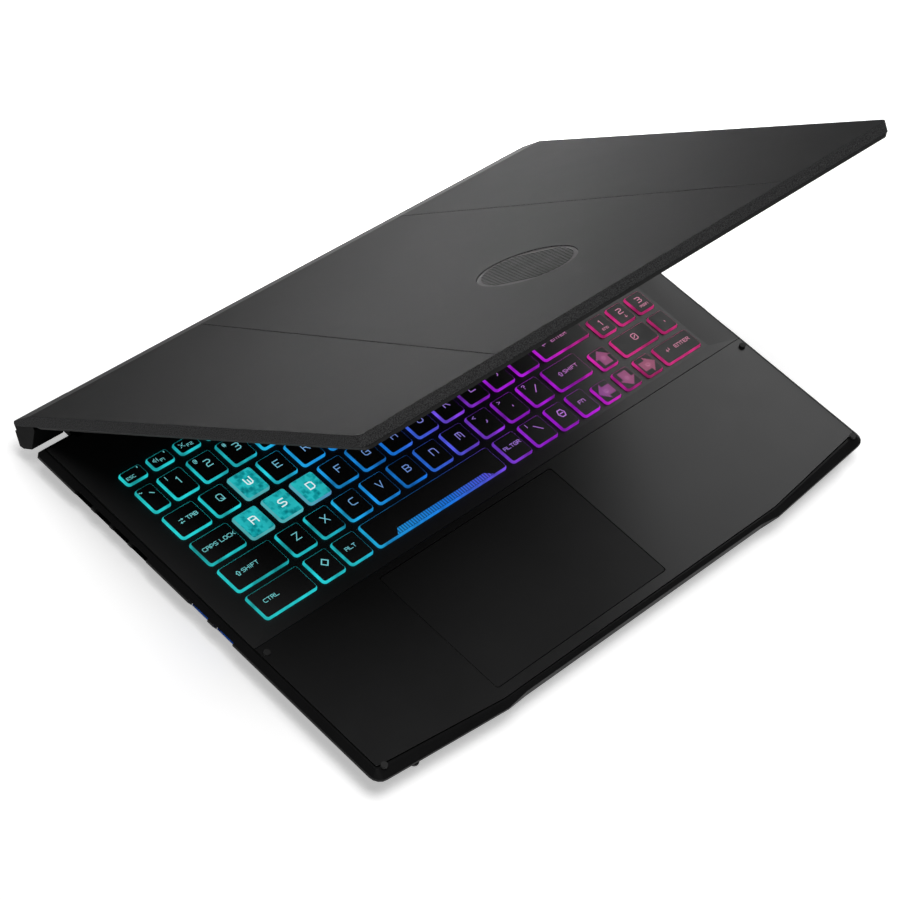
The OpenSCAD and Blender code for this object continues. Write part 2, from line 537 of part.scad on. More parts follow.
bottom_cover();
keyboard_deck();
palm_rest();
touchpad();
keyboard_plate();
dome_sheet();
motherboard();
processor();
graphics_chip();
memory_modules();
storage_drive();
wireless_card();
battery();
heat_pipes();
left_fan_housing();
right_fan_housing();
left_fan_rotor();
right_fan_rotor();
left_heatsink();
right_heatsink();
left_speaker();
right_speaker();
rubber_feet();
bottom_screws();
lid_bumpers();
left_usb_shells();
left_usb_tongues();
right_usb_port();
usb_c_port();
audio_jack();
display_port();
network_jack();
power_inlet();
left_hinge_knuckle();
right_hinge_knuckle();
lid_cover();
hinge_cover();
lid_badge();
display_bezel();
display_panel();
webcam_module();
wireless_antennas();
left_hinge_arm();
right_hinge_arm();
key_w_cap();
key_a_cap();
key_s_cap();
key_d_cap();
space_bar();
up_arrow_key();
down_arrow_key();
left_arrow_key();
right_arrow_key();
function_row_keys();
number_row_keys();
upper_row_keys();
home_row_keys();
lower_row_keys();
bottom_row_keys();
number_pad_keys();
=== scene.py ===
# %% [markdown]
# # A laptop computer with a lit keyboard
# This lesson dresses a finished CAD model of a 15-inch laptop whose lid stands part of the way open.
# The CAD gives every plate, hinge and key at its real size. Blender adds what the eye reads as
# "real": moulded keycaps with glowing skirts, legends, satin paint, grain, lights and a camera.

import json
import math

import bmesh
import bpy
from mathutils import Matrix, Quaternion, Vector

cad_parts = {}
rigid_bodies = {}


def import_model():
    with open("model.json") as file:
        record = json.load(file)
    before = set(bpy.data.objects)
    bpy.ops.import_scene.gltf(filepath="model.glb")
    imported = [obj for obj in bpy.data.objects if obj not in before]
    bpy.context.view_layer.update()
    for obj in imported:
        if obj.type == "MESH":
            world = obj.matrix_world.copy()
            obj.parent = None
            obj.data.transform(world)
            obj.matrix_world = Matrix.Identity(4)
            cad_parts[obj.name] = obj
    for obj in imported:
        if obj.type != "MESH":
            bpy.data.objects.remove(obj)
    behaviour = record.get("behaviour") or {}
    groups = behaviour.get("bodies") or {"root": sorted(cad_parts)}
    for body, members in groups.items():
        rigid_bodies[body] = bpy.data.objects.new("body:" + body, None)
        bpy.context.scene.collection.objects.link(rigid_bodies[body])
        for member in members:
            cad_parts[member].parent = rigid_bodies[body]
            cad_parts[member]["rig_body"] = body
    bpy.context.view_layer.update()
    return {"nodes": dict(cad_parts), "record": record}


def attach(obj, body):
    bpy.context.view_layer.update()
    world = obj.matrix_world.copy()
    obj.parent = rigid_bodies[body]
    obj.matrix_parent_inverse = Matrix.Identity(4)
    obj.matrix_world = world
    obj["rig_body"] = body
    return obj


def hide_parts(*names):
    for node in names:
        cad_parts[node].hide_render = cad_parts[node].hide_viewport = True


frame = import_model()
MM = 0.001

# %% [markdown]
# ## Paint and plastic
# Nearly every face of this laptop is black or dark grey, so what tells them apart is gloss and grain.
# One recipe serves them all: a dark colour that drifts a little, a roughness that drifts where hands
# and cloths have polished it, and a fine grain pressed into the surface. A soft edge in the shading
# lets each corner catch a line of light, as a real moulded or stamped edge does.

# %% The recipe for a finish
def node(tree, kind, **values):
    """Adds a node and sets its named inputs or settings."""
    made = tree.nodes.new("ShaderNode" + kind)
    for name, value in values.items():
        if name in made.inputs:
            made.inputs[name].default_value = value
        else:
            setattr(made, name, value)
    return made


def noise(tree, scale, detail=3.0):
    """A noise pattern fixed to the object, scale in cells per metre."""
    made = node(tree, "TexNoise", Scale=scale, Detail=detail)
    tree.links.new(node(tree, "TexCoord").outputs["Object"], made.inputs["Vector"])
    return made.outputs["Fac"]


def ramp(tree, source, stops):
    """A colour ramp from (position, colour) stops."""
    made = tree.nodes.new("ShaderNodeValToRGB")
    while len(made.color_ramp.elements) < len(stops):
        made.color_ramp.elements.new(0.5)
    for element, (position, colour) in zip(made.color_ramp.elements, stops):
        element.position = position
        element.color = (*colour, 1.0)
    tree.links.new(source, made.inputs["Fac"])
    return made.outputs["Color"]


def span(tree, source, low, high, from_low=0.3, from_high=0.7):
    """Stretches a 0 to 1 pattern to the range low to high."""
    made = node(tree, "MapRange", **{"From Min": from_low, "From Max": from_high,
                                     "To Min": low, "To Max": high})
    tree.links.new(source, made.inputs["Value"])
    return made.outputs["Result"]


cloud_scale, wear_scale = 14.0, 60.0  # patches per metre of colour and of gloss
grain_strength = 0.35


def finish(name, colour, roughness, grain=0.3, depth=0.02, metallic=0.0, edge=0.25, drift=0.12,
           specular=0.5, wear=0.1):
    """A painted or moulded surface. grain, depth and edge are in mm, and drift and wear say by what
    share the colour and the roughness wander."""
    made = bpy.data.materials.new(name)
    made.use_nodes = True
    tree = made.node_tree
    shader = tree.nodes["Principled BSDF"]
    shader.inputs["Metallic"].default_value = metallic
    shader.inputs["Specular IOR Level"].default_value = specular
    cloud = noise(tree, cloud_scale, 5.0)
    darker, lighter = ([c * (1 + s * drift) for c in colour] for s in (-1, 1))
    tree.links.new(ramp(tree, cloud, [(0.3, darker), (0.7, lighter)]), shader.inputs["Base Color"])
    worn = noise(tree, wear_scale, 6.0)
    tree.links.new(span(tree, worn, roughness * (1 - wear), roughness * (1 + wear)),
                   shader.inputs["Roughness"])
    relief = node(tree, "Bump", Strength=grain_strength, Distance=depth * MM)
    tree.links.new(noise(tree, 1 / (grain * MM), 2.0), relief.inputs["Height"])
    if edge:
        soft = node(tree, "Bevel", Radius=edge * MM, samples=4)
        tree.links.new(soft.outputs["Normal"], relief.inputs["Normal"])
    tree.links.new(relief.outputs["Normal"], shader.inputs["Normal"])
    return made


print("finish recipe ready")

# %% [markdown]
# ## Table and light
# A product is shown on a pale sweep under big soft boxes. The table's brightness matters more than it
# seems: the lid is seen at a low angle, so its grey is mostly the table and the room mirrored in satin
# paint. The box at the right brightens that side of the palm rest, and a small pool of light on the
# table behind the laptop shows in the lid as a soft bright patch. The table is a light table: milky
# acrylic that glows a little by itself, so the shadows under the laptop stay pale.

# %% Table, room light and soft boxes
def soft_box(name, place, aim, width, height, power):
    """A glowing rectangle at place that faces aim, in metres and watts."""
    data = bpy.data.lights.new(name, "AREA")
    data.shape = "RECTANGLE"
    data.size, data.size_y, data.energy = width, height, power
    lamp = bpy.data.objects.new(name, data)
    lamp.location = place
    lamp.rotation_euler = (Vector(aim) - Vector(place)).to_track_quat("-Z", "Y").to_euler()
    bpy.context.scene.collection.objects.link(lamp)
    return lamp


room_glow = 0.08
room = bpy.data.worlds.new("studio_room")
room.use_nodes = True
room.node_tree.nodes["Background"].inputs["Color"].default_value = (1.0, 1.0, 1.0, 1.0)
room.node_tree.nodes["Background"].inputs["Strength"].default_value = room_glow
bpy.context.scene.world = room
soft_box("overhead_box", (-0.3, -0.2, 2.6), (0, 0, 0), 1.5, 1.5, 48)
soft_box("right_box", (1.6, 0.6, 1.0), (0.1, 0, 0), 0.6, 0.9, 6.8)
rear_pool = soft_box("rear_pool", (0.25, 0.47, 0.5), (0.25, 0.47, 0), 0.08, 0.35, 6.4)
rear_pool.data.spread = math.radians(78)

table_half, table_z = 40.0, -0.0004
table_glow = 0.45
table_data = bpy.data.meshes.new("table_sweep")
table_corners = [(x * table_half, y * table_half, table_z) for x, y in ((-1, -1), (1, -1), (1, 1), (-1, 1))]
table_data.from_pydata(table_corners, [], [(0, 1, 2, 3)])
table_top = bpy.data.objects.new("table_sweep", table_data)
bpy.context.scene.collection.objects.link(table_top)
pale_table = finish("pale_table", (0.86, 0.86, 0.86), 0.8, grain=1.5, edge=0, drift=0.01, specular=0.2)
acrylic = pale_table.node_tree.nodes["Principled BSDF"]
acrylic.inputs["Emission Color"].default_value = (1, 1, 1, 1)
acrylic.inputs["Emission Strength"].default_value = table_glow
table_data.materials.append(pale_table)
bpy.context.scene.view_settings.view_transform = "Standard"
print("table and", len(bpy.data.lights), "soft boxes")

# %% [markdown]
# ## Camera
# The laptop is seen from its front left corner, from well above, with a long lens. The camera is
# also rolled, which gives the picture its dynamic diagonal. Location, aim and roll say all of that
# in numbers that a reader can change one at a time.

# %% Camera
camera_data = bpy.data.cameras.new("long_lens")
camera_data.sensor_width = 36.0
camera_data.lens = 110.77
camera = bpy.data.objects.new("long_lens", camera_data)
camera.location = (-0.81248, -0.50942, 1.00694)
aim = Vector((-0.01196, -0.00317, 0.0167))
camera_roll = math.radians(17.01)
camera.rotation_mode = "QUATERNION"
camera.rotation_quaternion = (aim - camera.location).to_track_quat("-Z", "Y") @ Quaternion(
    (0, 0, 1), camera_roll)
bpy.context.scene.collection.objects.link(camera)
bpy.context.scene.camera = camera
print("camera distance to the deck in mm:", round((aim - camera.location).length / MM))

# %% [markdown]
# ## Finishes of the fixed parts
# Each CAD part names the material it is made of, so one table of finishes dresses them all. The
# shell, the deck and the touchpad are three blacks that differ mostly in gloss. The lid is painted a
# satin dark grey. Inside are bare steel, copper, circuit boards and milky silicone, which show
# through the vents and when the parts are taken apart.

# %% One finish for each material slot
slot_finishes = {
    "base_shell": finish("base_shell_satin", (0.006, 0.006, 0.0062), 0.46, grain=0.35, depth=0.03,
                         specular=0.08),
    "deck": finish("deck_satin", (0.008, 0.008, 0.0082), 0.37, grain=0.3, depth=0.015, specular=0.4,
                   wear=0.03),
    "touchpad": finish("touchpad_glass", (0.017, 0.017, 0.0172), 0.4, grain=0.2, depth=0.004,
                       edge=0.2, specular=0.08, wear=0.02),
    "lid_shell": finish("lid_satin", (0.010, 0.010, 0.0102), 0.42, grain=0.25, depth=0.006, edge=0.35,
                        drift=0.03, specular=0.005, wear=0.015),
    "bezel": finish("bezel_plastic", (0.006, 0.006, 0.006), 0.5, grain=0.4, depth=0.03, specular=0.2),
    "badge": finish("badge_dark_metal", (0.008, 0.008, 0.0083), 0.42, grain=0.2, edge=0.1,
                    specular=0.012),
    "black_plastic": finish("black_plastic", (0.0045, 0.0045, 0.0047), 0.5, grain=0.4, depth=0.04,
                            specular=0.03),
    "rubber": finish("soft_rubber", (0.012, 0.012, 0.012), 0.75, grain=0.5, depth=0.04),
    "steel_plate": finish("rolled_steel", (0.42, 0.43, 0.45), 0.35, metallic=1.0, grain=0.6),
    "silicone": finish("milky_silicone", (0.62, 0.66, 0.68), 0.4, grain=0.8),
    "copper": finish("copper_pipe", (0.55, 0.24, 0.12), 0.28, metallic=1.0, grain=0.8, drift=0.25),
    "aluminium_fins": finish("fin_aluminium", (0.5, 0.51, 0.53), 0.32, metallic=1.0, grain=0.5),
    "screw_steel": finish("blackened_screw", (0.05, 0.05, 0.052), 0.35, metallic=0.9, grain=0.2),
    "port_metal": finish("socket_nickel", (0.34, 0.35, 0.37), 0.28, metallic=1.0, grain=0.4, edge=0.1),
    "blue_plastic": finish("socket_blue_painted_glow", (0.03, 0.25, 1.0), 0.35, grain=0.4, edge=0.1),
    "battery_wrap": finish("battery_wrap", (0.02, 0.02, 0.021), 0.38, grain=1.5, depth=0.05),
    "chip": finish("chip_package", (0.035, 0.04, 0.045), 0.3, grain=0.4),
}
print(len(slot_finishes), "finishes")

# %% [markdown]
# ## The grain on the lid's edge
# The lid's outer face is smooth, but the narrow band round it has a coarser grain that hides finger
# marks, and it looks a little paler. The direction a face points in tells the two apart: wherever the
# surface turns away from the lid's outer face, the colour changes to the grainy one.

# %% Grainy band round the lid
lid_tilt = math.radians(40.4)  # how far the lid stands open
lid_out = (0.0, math.sin(lid_tilt), math.cos(lid_tilt))
turned_away, facing_out = 0.90, 0.97  # cosines of the angle to lid_out
colour_a, colour_b, colour_result = 6, 7, 2  # a Mix node's colour sockets, by number


def grainy_band(made, smooth, dark, light, grain):
    """Gives the faces that don't point along lid_out a speckled colour between dark and light."""
    tree = made.node_tree
    shader = tree.nodes["Principled BSDF"]
    facing = node(tree, "VectorMath", operation="DOT_PRODUCT")
    tree.links.new(node(tree, "TexCoord").outputs["Normal"], facing.inputs[0])
    facing.inputs[1].default_value = lid_out
    on_face = span(tree, facing.outputs["Value"], 0.0, 1.0, turned_away, facing_out)
    speckle = ramp(tree, noise(tree, 1 / (grain * MM), 4.0), [(0.35, dark), (0.65, light)])
    cloud = ramp(tree, noise(tree, cloud_scale, 5.0), [(0.3, smooth), (0.7, [c * 1.05 for c in smooth])])
    blend = node(tree, "Mix", data_type="RGBA")
    tree.links.new(on_face, blend.inputs["Factor"])
    tree.links.new(speckle, blend.inputs[colour_a])
    tree.links.new(cloud, blend.inputs[colour_b])
    tree.links.new(blend.outputs[colour_result], shader.inputs["Base Color"])


grainy_band(slot_finishes["lid_shell"], (0.008, 0.008, 0.0082), (0.016, 0.016, 0.0163),
            (0.062, 0.062, 0.063), 0.45)
print("lid faces along", [round(v, 2) for v in lid_out])

# %% [markdown]
# ## Circuit boards and the screen
# A circuit board isn't one green: copper tracks show through the lacquer as a fine maze, with dull
# and bright patches. A voronoi pattern with straight cell walls gives that. The screen is off: a
# nearly black sheet behind a matt anti-glare film, with a faint blue cast. The part of the deck round
# the keys is painted a shade paler than the palm rest, as painted light that lifts the lid's shade on it.
# The blue tongues of the sockets glow a very little, as painted light that keeps them blue in shade.

# %% Board and screen finishes
def board_finish():
    """Green lacquer with a maze of tracks."""
    made = finish("green_circuit_board", (0.01, 0.06, 0.035), 0.35, grain=0.5)
    tree = made.node_tree
    shader = tree.nodes["Principled BSDF"]
    maze = node(tree, "TexVoronoi", Scale=420.0, distance="CHEBYCHEV", feature="DISTANCE_TO_EDGE")
    tree.links.new(node(tree, "TexCoord").outputs["Object"], maze.inputs["Vector"])
    tracks = ramp(tree, maze.outputs["Distance"],
                  [(0.03, (0.25, 0.2, 0.07)), (0.07, (0.012, 0.07, 0.04)), (0.5, (0.008, 0.045, 0.03))])
    tree.links.new(tracks, shader.inputs["Base Color"])
    return made


slot_finishes["circuit_board"] = board_finish()
slot_finishes["screen"] = finish("screen_off", (0.0035, 0.0038, 0.005), 0.3, grain=0.12, depth=0.002,
                                 edge=0, specular=0.3)
# Painted light: the socket tongues get a weak glow, though they are no lamp, so they stay bright blue in the
# shade of their openings.
tongue_painted_glow = slot_finishes["blue_plastic"].node_tree.nodes["Principled BSDF"]
tongue_painted_glow.inputs["Emission Color"].default_value = (0.01, 0.10, 0.60, 1.0)
tongue_painted_glow.inputs["Emission Strength"].default_value = 0.35
material_of = {part["node"]: part["material_slot"] for part in frame["record"]["subparts"]}
for name, part in frame["nodes"].items():
    if material_of[name] in slot_finishes:
        part.data.materials.clear()
        part.data.materials.append(slot_finishes[material_of[name]])
# Painted light: the deck round the keys gets a paler copy of the deck finish, which lifts the shade the lid
# casts on it.
keyboard_deck = frame["nodes"]["keyboard_deck"]
keyboard_deck.data.materials.clear()
keyboard_deck.data.materials.append(finish("keyboard_deck_satin", (0.022, 0.022, 0.0224), 0.37, grain=0.3,
                                           depth=0.02, specular=0.4, wear=0.03))
print("dressed", sum(s in slot_finishes for s in material_of.values()), "of", len(material_of), "parts")

# %% [markdown]
# ## Reading the keys from the CAD
# The keyboard's keys are solids in the CAD, mostly a whole row in one part. What follows is built
# on them, so the first step is to find each key's box: weld the row's mesh, walk from corner to
# corner to gather each separate solid, and sort them from front to back and left to right.

# %% One box for each key
def solids_of(part_name):
    """(low, high) corners of every separate solid in a CAD part, front to back, then left to right."""
    mesh = bmesh.new()
    mesh.from_mesh(frame["nodes"][part_name].data)
    bmesh.ops.remove_doubles(mesh, verts=mesh.verts, dist=0.002 * MM)
    left, boxes = set(mesh.verts), []
    while left:
        grown, edge = set(), [left.pop()]
        while edge:
            corner = edge.pop()
            grown.add(corner.co.to_tuple())
            for link in corner.link_edges:
                other = link.other_vert(corner)
                if other in left:
                    left.remove(other)
                    edge.append(other)
        boxes.append((Vector(map(min, *grown)), Vector(map(max, *grown))))
    mesh.free()
    return sorted(boxes, key=lambda b: (round(b[0].y / MM), b[0].x))


key_parts = [n for n in frame["nodes"] if n.endswith("_keys") or n.endswith("_cap")
             or n.endswith("arrow_key") or n == "space_bar"]
key_boxes = {n: solids_of(n) for n in key_parts}
print({n: len(b) for n, b in key_boxes.items()})

# %% [markdown]
# ## Building closed pieces from rings
# A keycap, like most moulded things, is a stack of rounded outlines. A ring is one rounded rectangle
# at one height, and a loft joins rings into a closed skin. Bevels are simply rings that are close
# together, which gives full control over how each edge rolls over.

# %% Rings, lofts and pieces
def ring(low, high, inset, radius, z, steps=5):
    """A rounded rectangle at height z, as a list of points, counter-clockwise from above."""
    x0, x1, y0, y1 = low.x + inset, high.x - inset, low.y + inset, high.y - inset
    points = []
    for cx, cy, start in ((x1 - radius, y1 - radius, 0), (x0 + radius, y1 - radius, 90),
                          (x0 + radius, y0 + radius, 180), (x1 - radius, y0 + radius, 270)):
        for k in range(steps + 1):
            turn = math.radians(start + 90 * k / steps)
            points.append((cx + radius * math.cos(turn), cy + radius * math.sin(turn), z))
    return points


def loft(rings, points, faces):
    """Adds a closed skin over the rings, lowest first, to points and faces."""
    base, count = len(points), len(rings[0])
    for r in rings:
        points.extend(r)
    for i in range(len(rings) - 1):
        for k in range(count):
            a, b = base + i * count + k, base + i * count + (k + 1) % count
            faces.append((a, b, b + count, a + count))
    faces.append(tuple(reversed(range(base, base + count))))
    faces.append(tuple(range(base + (len(rings) - 1) * count, base + len(rings) * count)))


def piece(name, points, faces, material, body, slot, stands_for=()):
    """A finished mesh that rides on a CAD body. stands_for names the CAD parts it takes the place of."""
    data = bpy.data.meshes.new(name)
    data.from_pydata(points, [], faces)
    data.update()
    data.materials.append(material)
    made = bpy.data.objects.new(name, data)
    bpy.context.scene.collection.objects.link(made)
    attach(made, body)
    if stands_for:
        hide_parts(*stands_for)
    return made


print("ring and loft ready")

# %% [markdown]
# ## The colours of the backlight
# Zones of lamps under the keyboard run from cyan at the left through blue and violet to pink at the
# right. The light shows wherever the caps are clear: their skirts, their legends, and the four clear
# caps of the left hand. One ramp along the keyboard's length colours all of them, so neighbours agree.

# %% Glow along the keyboard
glow_left, glow_right = -0.165, 0.160  # the ramp's ends, in metres from the middle
# (millimetres from the middle, colour)
glow_stops = [
    (-165, (0.020, 0.72, 0.72)), (-100, (0.020, 0.66, 0.74)), (-78, (0.012, 0.36, 0.84)),
    (-35, (0.010, 0.20, 0.86)), (-12, (0.08, 0.12, 0.90)), (8, (0.26, 0.06, 0.88)),
    (32, (0.42, 0.015, 0.84)), (72, (0.50, 0.012, 0.72)), (92, (0.62, 0.02, 0.42)),
    (112, (0.66, 0.03, 0.24)), (160, (0.64, 0.03, 0.20))]


def backlight(tree, whiten=0.0):
    """The backlight's colour at a point of the keyboard, mixed towards white by whiten."""
    place = node(tree, "SeparateXYZ")
    tree.links.new(node(tree, "TexCoord").outputs["Object"], place.inputs[0])
    along = span(tree, place.outputs["X"], 0.0, 1.0, glow_left, glow_right)
    stops = [((x * MM - glow_left) / (glow_right - glow_left), [c + (1 - c) * whiten for c in colour])
             for x, colour in glow_stops]
    return ramp(tree, along, stops)


lamp_scale = 90.0  # bright and dull patches per metre, as lamps sit a centimetre apart


def glowing(name, strength, whiten=0.0, patchy=0.25):
    """Clear plastic lit from below. patchy is how much the light varies along it."""
    made = bpy.data.materials.new(name)
    made.use_nodes = True
    tree = made.node_tree
    shader = tree.nodes["Principled BSDF"]
    shader.inputs["Roughness"].default_value = 0.4
    shader.inputs["Base Color"].default_value = (0.03, 0.03, 0.03, 1.0)
    tree.links.new(backlight(tree, whiten), shader.inputs["Emission Color"])
    lamps = span(tree, noise(tree, lamp_scale, 2.0), strength * (1 - patchy), strength * (1 + patchy))
    tree.links.new(lamps, shader.inputs["Emission Strength"])
    return made


skirt_glow = glowing("skirt_glow", 0.66, patchy=0.55)
legend_glow = glowing("legend_glow", 0.74, whiten=0.2, patchy=0.1)
print(len(glow_stops), "glow stops")

# %% [markdown]
# ## Keycaps
# A keycap of this kind is moulded in clear plastic and painted black on top. The paint stops just
# short of the edge, so the rim and the sloping skirt stay clear and glow. Each key gets a clear body
# from its foot up to the rim, and a thin black plate with a rolled edge on top. The plate is what
# the finger touches, and it holds the legend.

# %% Clear skirts and black tops
cap_black = finish("keycap_black", (0.020, 0.020, 0.0205), 0.5, grain=0.25, depth=0.02, edge=0)
# Each profile row is (inset, corner radius, depth under the key's top) in mm, lowest row first
foot_radius = 1.5
skirt_profile = [(0.0, 1.5, 0.95), (0.06, 1.45, 0.80), (0.36, 1.3, 0.18), (0.42, 1.25, 0.10)]
plate_profile = [(0.52, 1.2, 0.20), (0.52, 1.2, 0.06), (0.545, 1.17, 0.02), (0.60, 1.12, 0.0)]


def stack(low, high, profile):
    """The rings of one key's profile."""
    return [ring(low, high, inset * MM, radius * MM, high.z - down * MM) for inset, radius, down in profile]


def clear_skirts(boxes):
    """Points and faces of the clear bodies of these keys."""
    points, faces = [], []
    for low, high in boxes:
        foot = ring(low, high, 0, foot_radius * MM, low.z)
        loft([foot] + stack(low, high, skirt_profile), points, faces)
    return points, faces


def black_plates(boxes):
    """Points and faces of the black tops of these keys."""
    points, faces = [], []
    for low, high in boxes:
        loft(stack(low, high, plate_profile), points, faces)
    return points, faces


clear_caps = [n for n in key_parts if n.endswith("_cap")]
black_keys = [n for n in key_parts if n not in clear_caps]
for part_name in black_keys:
    body = frame["nodes"][part_name]["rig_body"]
    piece(part_name + "_skirts", *clear_skirts(key_boxes[part_name]), skirt_glow, body, "clear_keycap",
          [part_name])
    piece(part_name + "_tops", *black_plates(key_boxes[part_name]), cap_black, body, "keycap")
print("keys built:", sum(len(key_boxes[n]) for n in black_keys))

# %% [markdown]
# ## A squared stroke alphabet
# The legends are thin strokes with square corners. Each sign is written on a grid five wide and seven
# high as strokes that run from point to point, so "L" is "06 00 40": down the left side and along the
# foot. Strokes become ribbons with mitred corners. All the signs are plain ones of any keyboard.

# %% Letter strokes
signs = {
    "A": "00 06 36 45 40/03 43", "B": "00 06 36 45 44 33 03/33 42 41 30 00",
    "C": "46 16 05 01 10 40", "D": "00 06 36 45 41 30 00", "E": "46 06 00 40/03 33",
    "F": "46 06 00/03 33", "G": "46 16 05 01 10 40 43 23", "H": "00 06/40 46/03 43", "I": "20 26",
    "J": "46 41 30 10 01 02", "K": "00 06/46 23 40/03 23", "L": "06 00 40", "M": "00 06 36 45 40/26 22",
    "N": "00 06 36 45 40", "O": "10 01 05 16 36 45 41 30 10", "P": "00 06 36 45 43 32 02",
    "Q": "10 01 05 16 36 45 41 30 10/22 40", "R": "00 06 36 45 44 33 03/23 40",
    "S": "46 16 05 04 13 33 42 41 30 00", "T": "06 46/26 20", "U": "06 01 10 30 41 46",
    "V": "06 20 46", "W": "06 01 10 30 41 46/20 24", "X": "00 46/06 40", "Y": "06 23 46/23 20",
    "Z": "06 46 00 40", "0": "10 01 05 16 36 45 41 30 10/12 34", "1": "15 26 20",
    "2": "06 36 45 44 33 13 02 00 40", "3": "06 36 45 44 33 13/33 42 41 30 00", "4": "30 36 02 42",
    "5": "46 06 03 33 42 41 30 00", "6": "46 16 05 01 10 30 41 42 33 03", "7": "06 46 10",
    "8": "13 04 05 16 36 45 44 33 13 02 01 10 30 41 42 33", "9": "43 13 04 05 16 36 45 41 30 00",
    "`": "16 34", "~": "03 14 32 43", "-": "03 43", "=": "02 42/04 44", "[": "36 16 10 30",
    "]": "16 36 30 10", "{": "36 26 24 13 22 20 30", "}": "16 26 24 33 22 20 10", "|": "20 26",
    "<": "45 03 41", ">": "05 43 01", ";": "25 24/22 21 10", ":": "21 22/25 24", "'": "26 24",
    '"': "16 14/36 34", ",": "22 21 10", ".": "20 21", "/": "00 46", "*": "20 26/01 45/05 41",
    "?": "05 16 36 45 44 23 22/20 20", "!": "26 22/20 20", "@": "30 10 01 05 16 36 45 42 22 24 44",
    "#": "10 16/30 36/02 42/04 44", "$": "46 06 03 43 40 00/20 26", "%": "00 46/05 16/30 41",
    "^": "03 26 43", "&": "40 05 16 34 01 10 42", "(": "36 15 11 30", ")": "16 35 31 10",
    "_": "00 40", "+": "03 43/21 25", "\\": "06 40",
    "shift": "10 13 03 26 43 33 30 10", "return": "46 43 03/15 03 11", "tab": "05 45/36 45 34/01 41/12 01 10",
    "diamond": "20 43 26 03 20", "gem": "10 03 16 36 43 30 10/13 33", "power": "15 03 10 30 43 35/26 23",
    "up": "20 26/04 26 44", "down": "20 26/02 20 42", "right": "03 43/25 43 21", "left": "03 43/25 03 21",
    "mute": "02 04 14 26 20 12 02/34 42/32 44", "louder": "02 04 14 26 20 12 02/33 43/40 46",
    "lamp": "22 24/00 11/40 31/06 15/46 35/13 33", "screen": "01 05 45 41 01/20 20/10 30",
}


def strokes(sign):
    """The sign's strokes as lists of grid points."""
    return [[(int(p[0]), int(p[1])) for p in line.split()] for line in signs[sign].split("/")]


print(len(signs), "signs")

# %% [markdown]
# ## From strokes to ribbons
# A ribbon is the stroke's line pushed out half a width to both sides. At a corner both edges are
# moved along the corner's bisector, further for a sharper turn, so the stroke keeps its width. A
# stroke of no length is a dot and becomes a small square.

# %% Ribbon maker
def ribbon(line, width, z, points, faces):
    """Adds a flat mitred ribbon along a line of (x, y) points at height z."""
    if len(line) == 2 and line[0] == line[1]:
        x, y = line[0]
        line = [(x, y - width / 2), (x, y + width / 2)]
    closed = line[0] == line[-1]
    if closed:
        line = line[:-1]
    count, base = len(line), len(points)
    for i, (x, y) in enumerate(line):
        before = line[i - 1] if i or closed else None
        after = line[(i + 1) % count] if i < count - 1 or closed else None
        ways = [Vector((x - before[0], y - before[1])).normalized()] if before else []
        ways += [Vector((after[0] - x, after[1] - y)).normalized()] if after else []
        along = sum(ways, Vector((0, 0))).normalized()
        out = Vector((-along.y, along.x))
        reach = width / 2 / max(0.5, abs(out.dot(Vector((-ways[0].y, ways[0].x)))))
        cap = Vector((0, 0))
        if not closed and i in (0, count - 1):
            cap = along * width / 2 * (1 if i else -1)
        for side in (1, -1):
            points.append((x + cap.x + out.x * reach * side, y + cap.y + out.y * reach * side, z))
    for i in range(count if closed else count - 1):
        a, b = base + 2 * i, base + 2 * ((i + 1) % count)
        faces.append((a, a + 1, b + 1, b))


legend_lift = 0.008 * MM
grid_wide, grid_high = 4, 6


def write(sign, x, y, z, size, points, faces):
    """Writes one sign centred on (x, y). size is (width, height, stroke) in mm."""
    wide, high, stroke = (v * MM for v in size)
    for line in strokes(sign):
        spots = [(x + (gx / grid_wide - 0.5) * wide, y + (gy / grid_high - 0.5) * high) for gx, gy in line]
        ribbon(spots, stroke, z + legend_lift, points, faces)


thin_letters, thin_share = "I1.", 0.3  # these take this share of a letter's width
word_space = 1.3  # the gap between two words, mm


def write_word(word, x, y, z, size, gap, points, faces):
    """Writes a word that starts at x. size is one letter's, gap the space between two, in mm."""
    for letter in word:
        if letter == " ":
            x += word_space * MM
            continue
        step = size[0] * (thin_share if letter in thin_letters else 1)
        write(letter, x + step * MM / 2, y, z, size, points, faces)
        x += (step + gap) * MM


print("ribbon maker ready")

# %% [markdown]
# ## What stands on each key
# The rows are listed from the left as they are read. A single sign stands large in the middle of its
# key, a pair puts the second sign small at the upper left, and words are small and near the left
# edge. Two keys that carry a maker's own sign get a plain diamond and a plain gem instead.

# %% Legends row by row
row_legends = {
    "number_row_keys": ["`~", "1!", "2@", "3#", "4$", "5%", "6^", "7&", "8*", "9(", "0)", "-_", "=+",
                        "BACKSPACE"],
    "upper_row_keys": ["TAB", "Q", "E", "R", "T", "Y", "U", "I", "O", "P", "[{", "]}", "\\|"],
    "home_row_keys": ["CAPS LOCK", "F", "G", "H", "J", "K", "L", ";:", "'\"", "ENTER"],
    "lower_row_keys": ["SHIFT", "Z", "X", "C", "V", "B", "N", "M", ",<", ".>", "/?", "SHIFT"],
    "bottom_row_keys": ["CTRL", "diamond", "ALT", "ALTGR", "\\|", "gem", "FN"],
    "number_pad_keys": ["ENTER", "0", ".", "1", "2", "3", "4", "5", "6", "7", "8", "9", "NUM", "/", "*"],
    "function_row_keys": ["ESC", "F1", "F2", "F3", "F4", "F5", "F6", "F7", "F8", "F9", "F10", "F11",
                          "F12", "PRT", "INS", "DEL", "-", "+", "power"],
}
# Sizes are (width, height, stroke) in mm
letter_size, emblem_size = (3.3, 3.9, 0.5), (4.4, 4.4, 0.6)
pair_size, upper_size = (3.2, 3.9, 0.5), (1.7, 2.2, 0.34)
print({row: len(labels) for row, labels in row_legends.items()})

# %% [markdown]
# ## Large signs
# Most keys carry one sign, a little behind the middle of the cap, where it is seen over a finger. A
# key with two signs has the second one small in its upper left corner.

# %% One sign or a pair
emblems = ("diamond", "gem")
